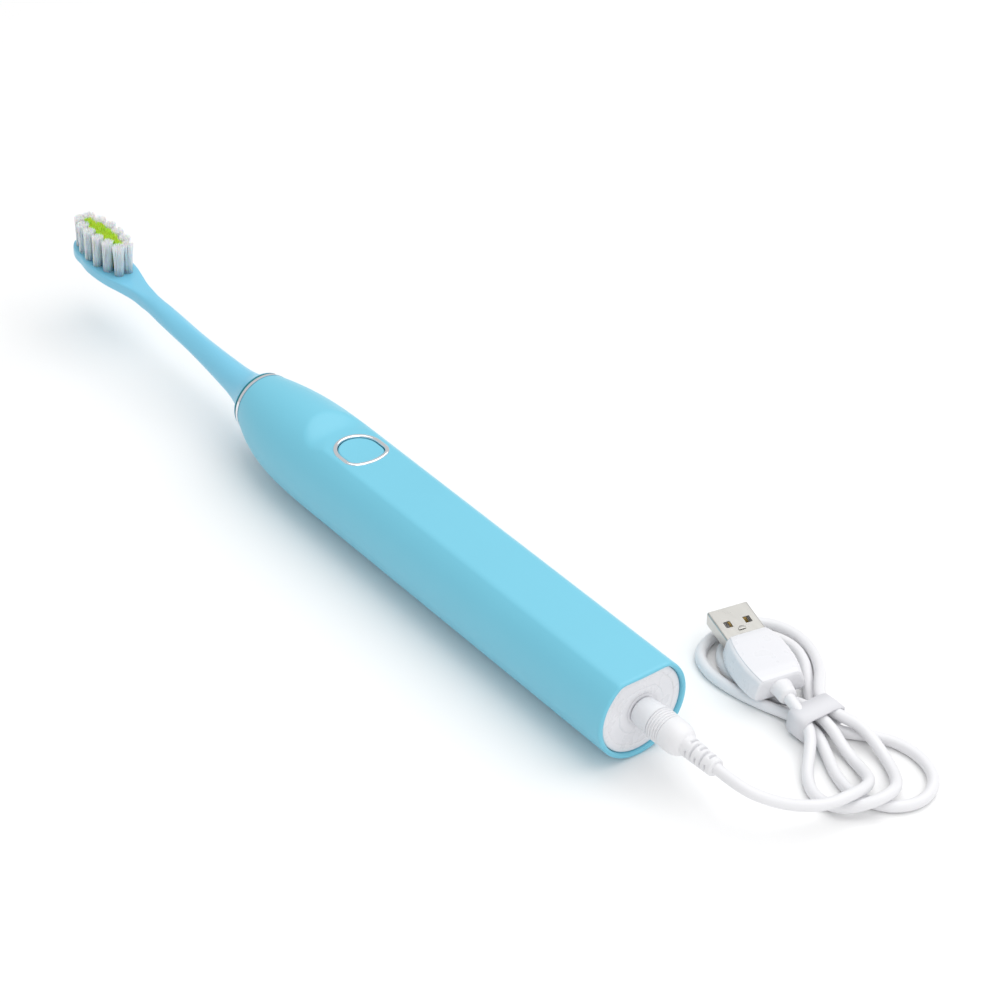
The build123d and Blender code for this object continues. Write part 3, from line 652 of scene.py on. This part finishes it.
def turned_rows(x, radius, turn):
    """Rings of a turned shape about the handle's axis, from a station and a radius for each ring."""
    return np.stack([x + 0 * turn * radius, radius * np.sin(turn), axis_z + radius * np.cos(turn)], axis=-1)


grip_run = np.concatenate([[0, 0.05, 0.2, 0.45], np.linspace(0.8, 6.2, 10), np.linspace(6.3, 11.0, 90)]) * mm
grip_run = np.concatenate([grip_run, np.linspace(11.2, 17.5, 36) * mm])
rib_wave = np.cos(2 * math.pi * (grip_run - 6.4 * mm) / (0.9 * mm))
ribbed = (grip_run > 6.4 * mm) & (grip_run < 10.9 * mm)
grip_radius = smooth_curve(
    np.array([0, 0.45, 3.0, 6.4, 10.9, 12.6, 14.2, 15.6, 16.8, 17.5]) * mm,
    np.array([3.95, 4.0, 4.2, 4.6, 4.65, 4.7, 4.6, 4.25, 3.6, 2.9]) * mm,
    grip_run,
)
grip_radius = grip_radius - np.where(ribbed, 0.2 * mm * (1 + np.tanh(3 * rib_wave)), 0.0)
grip_radius[:3] -= np.array([0.4, 0.2, 0.05]) * mm
grip_rows = turned_rows(plug_face + grip_run[:, None], grip_radius[:, None], plug_turn)
plug_grip = tube_piece("plug_grip", grip_rows)
dress(plug_grip, white_jacket)
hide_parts("plug_overmould")
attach(plug_grip, "charging_lead")

relief_length = relief_high[0] - relief_low[0]
relief_run = np.linspace(0, relief_length, 151)[:, None]
relief_radius = 2.95 * mm - 0.4 * mm * relief_run / relief_length
relief_radius = relief_radius - 0.35 * mm * np.clip(relief_run / relief_length * 20 - 19, 0, 1) ** 2
slot_number = np.floor((relief_run - 1.5 * mm) / (1.75 * mm))
slot_phase = (relief_run - 1.5 * mm) / (1.75 * mm) - slot_number
slotted = (slot_number >= 0) & (slot_number < 5)
slot_depth = np.where(slotted, 1.05 * mm * np.clip(6 * (0.25 - np.abs(slot_phase - 0.3)), 0, 1), 0.0)
slot_side = np.where(slot_number % 2 == 0, 1.0, -1.0)
bridge = np.abs(np.cos(plug_turn + math.radians(45) * slot_side))
relief_cut = slot_depth * np.clip(9 * (0.93 - bridge), 0, 1)
relief_rows = turned_rows(relief_x + relief_run, relief_radius - relief_cut, plug_turn)
plug_relief = tube_piece("plug_relief", relief_rows)
dress(plug_relief, white_jacket)
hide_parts("plug_strain_relief")
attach(plug_relief, "charging_lead")


# ---- USB plug
# Folded nickel-plated shell with two latch windows and a half-round lanced tab, a white tongue with four
# gilt contacts, and a white moulded grip with a flat top, a parting step round it and a tapered collar.
usb_yaw, usb_pitch, usb_roll = math.radians(-15.5), math.radians(-2.0), math.radians(4.0)
usb_nose = np.array([base_x - 23.8 * mm, 50.6 * mm, 8.6 * mm])
usb_along = np.array(
    [
        math.cos(usb_yaw) * math.cos(usb_pitch),
        math.sin(usb_yaw) * math.cos(usb_pitch),
        math.sin(usb_pitch),
    ]
)
usb_level = np.array([-math.sin(usb_yaw), math.cos(usb_yaw), 0.0])
usb_across = usb_level * math.cos(usb_roll) + np.cross(usb_along, usb_level) * math.sin(usb_roll)
usb_up = np.cross(usb_along, usb_across)


def on_usb(along, across, up):
    """Points of the USB plug's own frame, from its nose, placed in the row frame."""
    along, across, up = np.broadcast_arrays(along, across, up)
    return usb_nose + along[..., None] * usb_along + across[..., None] * usb_across + up[..., None] * usb_up


grip_at = np.array([12.0, 12.1, 12.6, 14.0, 16.0, 19.0, 22.0, 25.0, 28.0, 30.5, 31.7, 32.0]) * mm
grip_half = np.array([5.9, 6.5, 7.0, 7.55, 8.1, 8.5, 8.6, 8.5, 8.1, 7.5, 7.0, 6.3]) * mm
grip_high = np.array([2.6, 3.0, 3.4, 3.65, 3.7, 3.7, 3.7, 3.7, 3.7, 3.6, 3.3, 2.7]) * mm
fine_at = np.concatenate([[12.0, 12.02], np.linspace(12.1, 31.9, 80), [31.97, 32.0]]) * mm
half_at = np.interp(fine_at, grip_at, grip_half)
high_at = np.interp(fine_at, grip_at, grip_high)
grip_turn = np.radians(np.arange(0, 360, 2.0))[None, :]
grip_power = 2 / 6.5
grip_across = half_at[:, None] * np.sign(np.cos(grip_turn)) * np.abs(np.cos(grip_turn)) ** grip_power
grip_up = high_at[:, None] * np.sign(np.sin(grip_turn)) * np.abs(np.sin(grip_turn)) ** grip_power
bevel = np.clip((grip_up + 0.4 * mm) / (4.1 * mm), 0, 1) * 1.1 * mm
ledge = np.clip(-grip_up / (0.12 * mm) - 3, 0, 1) * 0.35 * mm
near_edge = np.clip(np.abs(grip_across) / half_at[:, None] * 8 - 6, 0, 1)
grip_across = grip_across - np.sign(grip_across) * (bevel - ledge) * near_edge
usb_grip = tube_piece("usb_grip", on_usb(fine_at[:, None], grip_across, grip_up))
dress(usb_grip, white_plastic)
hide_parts("usb_overmould")
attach(usb_grip, "charging_lead")

collar_at = np.array([31.6, 32.0, 33.0, 34.0, 35.0, 35.8, 36.3, 36.6, 36.8, 37.0]) * mm
collar_half = np.array([3.2, 3.15, 3.0, 2.85, 2.7, 2.6, 2.5, 2.3, 1.9, 1.65]) * mm
collar_turn = np.radians(np.arange(0, 360, 7.5))[None, :]
collar_rows = on_usb(
    collar_at[:, None],
    collar_half[:, None] * np.cos(collar_turn),
    np.minimum(collar_half, 2.6 * mm)[:, None] * np.sin(collar_turn),
)
usb_relief = tube_piece("usb_relief", collar_rows)
dress(usb_relief, white_jacket)
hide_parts("usb_collar")
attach(usb_relief, "charging_lead")

nickel_plate = new_finish(
    "nickel_plate",
    metal_skin,
    {"Colour": (0.62, 0.61, 0.58, 1.0), "Tone": 0.12, "Roughness": 0.24, "Rubbing": 0.14},
    0.000004,
    Metallic=1.0,
)
dress(nodes["usb_shell"], nickel_plate)
dress(nodes["usb_tongue"], white_plastic)
gilt = new_finish(
    "gilt_contact",
    metal_skin,
    {"Colour": (0.85, 0.58, 0.20, 1.0), "Tone": 0.1, "Roughness": 0.22, "Rubbing": 0.1},
    0.000002,
    Metallic=1.0,
)
gilt_nodes = ("usb_contacts", "plug_contact", "jack_contacts", "tuft_anchors", "front_bearing", "rear_bearing")
for name in gilt_nodes:
    dress(nodes[name], gilt)
dress(nodes["plug_barrel"], nickel_plate)
dress(nodes["battery_contacts"], nickel_plate)

tab_turn = np.radians(np.arange(0, 360, 15.0))[None, :]
tab_share = np.array([1.0, 1.0, 0.75, 0.4, 0.05])[:, None]
tab_up = np.array([0.0, 0.10, 0.16, 0.19, 0.20])[:, None] * mm
tab_along = 9.3 * mm + np.minimum(1.1 * mm * tab_share * np.cos(tab_turn), 0.35 * mm)
tab_rows = on_usb(tab_along, 1.1 * mm * tab_share * np.sin(tab_turn), 2.2 * mm + tab_up)
usb_tab = tube_piece("usb_lanced_tab", tab_rows)
dress(usb_tab, nickel_plate)
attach(usb_tab, "charging_lead")


# ---- Cord
# Round white jacket, 3.2 mm through. It leaves the charging plug, drops to the table, and is folded into two
# loops toward the head and two toward the base, all held by one tie. Its far end enters the USB plug.
cord_diameter = 3.2 * mm
cord_route = [
    (34.0, 0.0, 14.6), (39.5, 1.6, 13.6), (44.0, 7.5, 10.6), (47.0, 14.5, 8.2), (48.8, 21.0, 7.1),
    (49.3, 27.6, 7.2), (48.2, 33.8, 5.6), (45.2, 38.2, 3.8), (40.6, 40.8, 2.2), (36.0, 42.0, 1.62),
    (30.6, 43.0, 2.2), (25.0, 43.7, 4.9), (19.0, 43.7, 5.7), (14.5, 43.7, 5.4), (9.5, 43.6, 3.6),
    (4.0, 42.6, 1.8), (-2.6, 40.6, 1.62), (-9.8, 39.6, 1.62), (-18.0, 43.0, 1.62), (-21.4, 51.2, 1.62),
    (-18.0, 59.4, 1.62), (-10.0, 62.5, 1.62), (-2.4, 60.4, 1.62), (4.2, 55.2, 1.62), (10.6, 49.9, 1.8),
    (15.8, 46.4, 2.4), (20.6, 45.5, 2.4), (25.4, 47.4, 1.7), (30.2, 52.0, 1.62), (36.0, 56.4, 1.62),
    (45.4, 57.6, 1.62), (54.2, 53.8, 1.62), (58.0, 44.8, 1.62), (54.2, 36.0, 1.62), (45.4, 32.4, 1.62),
    (37.6, 34.0, 1.62), (30.1, 37.8, 1.7), (23.0, 41.2, 2.4), (16.0, 41.7, 2.4), (9.5, 40.0, 1.8),
    (3.0, 37.8, 1.62), (-5.0, 36.0, 1.62), (-13.5, 35.5, 1.62), (-21.6, 38.8, 1.62), (-25.0, 47.0, 1.62),
    (-25.0, 55.2, 1.62), (-21.6, 63.2, 1.62), (-13.5, 66.6, 1.62), (-4.6, 65.4, 1.7), (3.8, 60.2, 2.6),
    (10.2, 53.4, 4.8), (14.8, 49.0, 5.8), (19.4, 47.5, 5.8), (24.4, 48.4, 5.7), (29.4, 50.2, 5.2),
    (35.4, 50.4, 2.8), (41.6, 48.8, 1.7), (48.0, 45.4, 2.4), (53.1, 39.4, 5.1), (53.1, 31.4, 5.1),
    (48.0, 25.4, 2.2), (40.2, 23.8, 1.62), (33.2, 27.6, 1.62), (28.2, 33.2, 2.6), (23.8, 37.6, 5.0),
    (18.6, 39.5, 5.9),
]
cord_exit = np.array([cord_x, 0.0, axis_z])
collar_end = usb_nose + usb_along * 36.4 * mm
line_points = np.array(cord_route) * mm + np.array([base_x, 0.0, 0.0])
line_points = np.concatenate([[cord_exit], line_points, [collar_end + usb_along * 3.0 * mm, collar_end]])
cord_curve = bpy.data.curves.new("cord", "CURVE")
cord_curve.dimensions = "3D"
cord_curve.resolution_u = 6
cord_curve.bevel_depth = cord_diameter / 2
cord_curve.bevel_resolution = 5
cord_curve.use_fill_caps = True
cord_spline = cord_curve.splines.new("NURBS")
cord_spline.points.add(len(line_points) - 1)
cord_spline.points.foreach_set("co", np.column_stack([line_points, np.ones(len(line_points))]).ravel())
cord_spline.order_u = 3
cord_spline.use_endpoint_u = True
cord_piece = bpy.data.objects.new("cord", cord_curve)
bpy.context.scene.collection.objects.link(cord_piece)
dress(cord_piece, white_jacket)
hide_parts("cord_tube", "cord_hank")
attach(cord_piece, "charging_lead")

# ---- Tie
# Flat white plastic strap round the middle of the bundle, rounded where it turns from side to top.
tie_low, tie_high = (np.array(corner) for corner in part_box("cord_tie"))
tie_middle = (tie_low + tie_high) / 2
tie_half = (tie_high - tie_low) / 2
strap_plastic = new_finish(
    "strap_plastic",
    moulded_skin,
    {"Colour": (0.70, 0.70, 0.73, 1.0), "Cloud": 0.04, "Roughness": 0.42, "Handling": 0.1, "Grain": 2.0},
    0.00002,
    IOR=1.45,
)
strap_turn = np.radians(np.arange(0, 360, 3.0))[None, :]
strap_edge = np.array([-1.0, -0.97, 0.0, 0.97, 1.0, 0.97, 0.0, -0.97])[:, None]
strap_layer = np.array([-0.3, 0.0, 0.12, 0.0, -0.3, -0.6, -0.6, -0.6])[:, None] * mm
strap_power = 2 / 5.0
strap_margin = 0.15 * mm
strap_cosine, strap_sine = np.cos(strap_turn), np.sin(strap_turn)
strap_y = np.sign(strap_cosine) * np.abs(strap_cosine) ** strap_power
strap_y = strap_y * (tie_half[1] - strap_margin + strap_layer)
strap_z = np.sign(strap_sine) * np.abs(strap_sine) ** strap_power
strap_z = strap_z * (tie_half[2] - strap_margin + strap_layer)
strap_x = strap_edge * tie_half[0] + 0.25 * mm * np.sin(2 * strap_turn)
strap_rows = np.stack([tie_middle[0] + strap_x, tie_middle[1] + strap_y, tie_middle[2] + strap_z], axis=-1)
strap_rows = np.concatenate([strap_rows, strap_rows[:1]])
tie_strap = make_piece("tie_strap", strap_rows, grid_faces(*strap_rows.shape[:2]))
dress(tie_strap, strap_plastic)
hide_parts("cord_tie")
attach(tie_strap, "charging_lead")

lead_pieces = [plug_grip, plug_relief, usb_grip, usb_relief, usb_tab, tie_strap]
lead_nodes = ("plug_barrel", "plug_insulator", "plug_contact", "usb_shell", "usb_tongue", "usb_contacts")
lead_pieces += [nodes[name] for name in lead_nodes]


# ---- Inner pieces
# What the shell hides: motor, bearings, shaft, rotor and magnets, board with its switch and lamps, screws,
# battery, pad and chassis, and the plastic and steel parts inside the head.
steel = new_finish(
    "bright_steel",
    metal_skin,
    {"Colour": (0.56, 0.57, 0.58, 1.0), "Tone": 0.15, "Roughness": 0.28, "Rubbing": 0.15},
    0.000004,
    Metallic=1.0,
)
for name in ("motor_can", "drive_shaft", "rotor_core", "frame_screws", "head_clip"):
    dress(nodes[name], steel)
inner_finishes = {
    "motor_coils": ("enamelled_copper", (0.45, 0.13, 0.03, 1.0), 0.35),
    "rotor_magnets": ("sintered_magnet", (0.05, 0.05, 0.055, 1.0), 0.55),
    "circuit_board": ("solder_resist", (0.01, 0.12, 0.04, 1.0), 0.35),
    "tact_switch": ("black_nylon", (0.02, 0.02, 0.022, 1.0), 0.5),
    "switch_stem": ("black_stem", (0.02, 0.02, 0.022, 1.0), 0.45),
    "plug_insulator": ("black_insulator", (0.02, 0.02, 0.022, 1.0), 0.45),
    "indicator_leds": ("lamp_epoxy", (0.75, 0.78, 0.62, 1.0), 0.2),
    "battery_cell": ("battery_wrap", (0.02, 0.10, 0.36, 1.0), 0.25),
    "battery_pad": ("grey_foam", (0.05, 0.05, 0.055, 1.0), 0.9),
    "chassis": ("grey_nylon", (0.26, 0.27, 0.28, 1.0), 0.5),
    "head_bushing": ("acetal_bushing", (0.78, 0.78, 0.80, 1.0), 0.35),
}
for name, (finish, colour, roughness) in inner_finishes.items():
    skin_values = {"Colour": colour, "Cloud": 0.08, "Roughness": roughness, "Handling": 0.1, "Grain": 1.5}
    dress(nodes[name], new_finish(finish, moulded_skin, skin_values, 0.00002))


# ---- Table, light and camera
# A plain white table under soft, even studio light from above and the right, seen from over the charging end.
table_size = 1.5
table_corners = [
    (-table_size, -table_size, 0),
    (table_size, -table_size, 0),
    (table_size, table_size, 0),
    (-table_size, table_size, 0),
]
table = make_piece("table", table_corners, [(0, 1, 2, 3)])
table_finish = new_finish(
    "white_table",
    moulded_skin,
    {"Colour": (0.92, 0.92, 0.92, 1.0), "Cloud": 0.003, "Roughness": 0.7, "Handling": 0.05, "Grain": 0.5},
    0.00001,
)
dress(table, table_finish)

world = bpy.data.worlds.new("studio")
world.use_nodes = True
world.node_tree.nodes["Background"].inputs["Color"].default_value = (1.0, 1.0, 1.0, 1.0)
world.node_tree.nodes["Background"].inputs["Strength"].default_value = 0.66
bpy.context.scene.world = world
bpy.context.scene.view_settings.view_transform = "Standard"


def soft_box(name, place, size, power):
    """Square area light aimed at the origin."""
    light = bpy.data.lights.new(name, "AREA")
    light.energy = power
    light.size = size
    lamp = bpy.data.objects.new(name, light)
    lamp.location = place
    lamp.rotation_euler = (-Vector(place)).to_track_quat("-Z", "Y").to_euler()
    bpy.context.scene.collection.objects.link(lamp)


soft_box("key_light", (0.1, 0.35, 1.0), 1.3, 8.0)
soft_box("fill_light", (0.9, -0.2, 0.5), 0.7, 1.5)

camera_azimuth, camera_elevation, camera_roll = math.radians(50.01), math.radians(35.25), math.radians(2.78)
camera = bpy.data.objects.new("camera", bpy.data.cameras.new("camera"))
back = Vector(
    (
        math.sin(camera_azimuth) * math.cos(camera_elevation),
        -math.cos(camera_azimuth) * math.cos(camera_elevation),
        math.sin(camera_elevation),
    )
)
forward = -back
level = forward.cross(Vector((0, 0, 1))).normalized()
upright = level.cross(forward)
right = level * math.cos(camera_roll) + upright * math.sin(camera_roll)
above = upright * math.cos(camera_roll) - level * math.sin(camera_roll)
turned = Matrix((right, above, back)).transposed().to_4x4()
camera.matrix_world = Matrix.Translation((0.56688, -0.41316, 0.49909)) @ turned
camera.data.lens = 107.68
camera.data.sensor_width = 36.0
camera.data.clip_start = 0.01
bpy.context.scene.collection.objects.link(camera)
bpy.context.scene.camera = camera

bpy.context.view_layer.update()
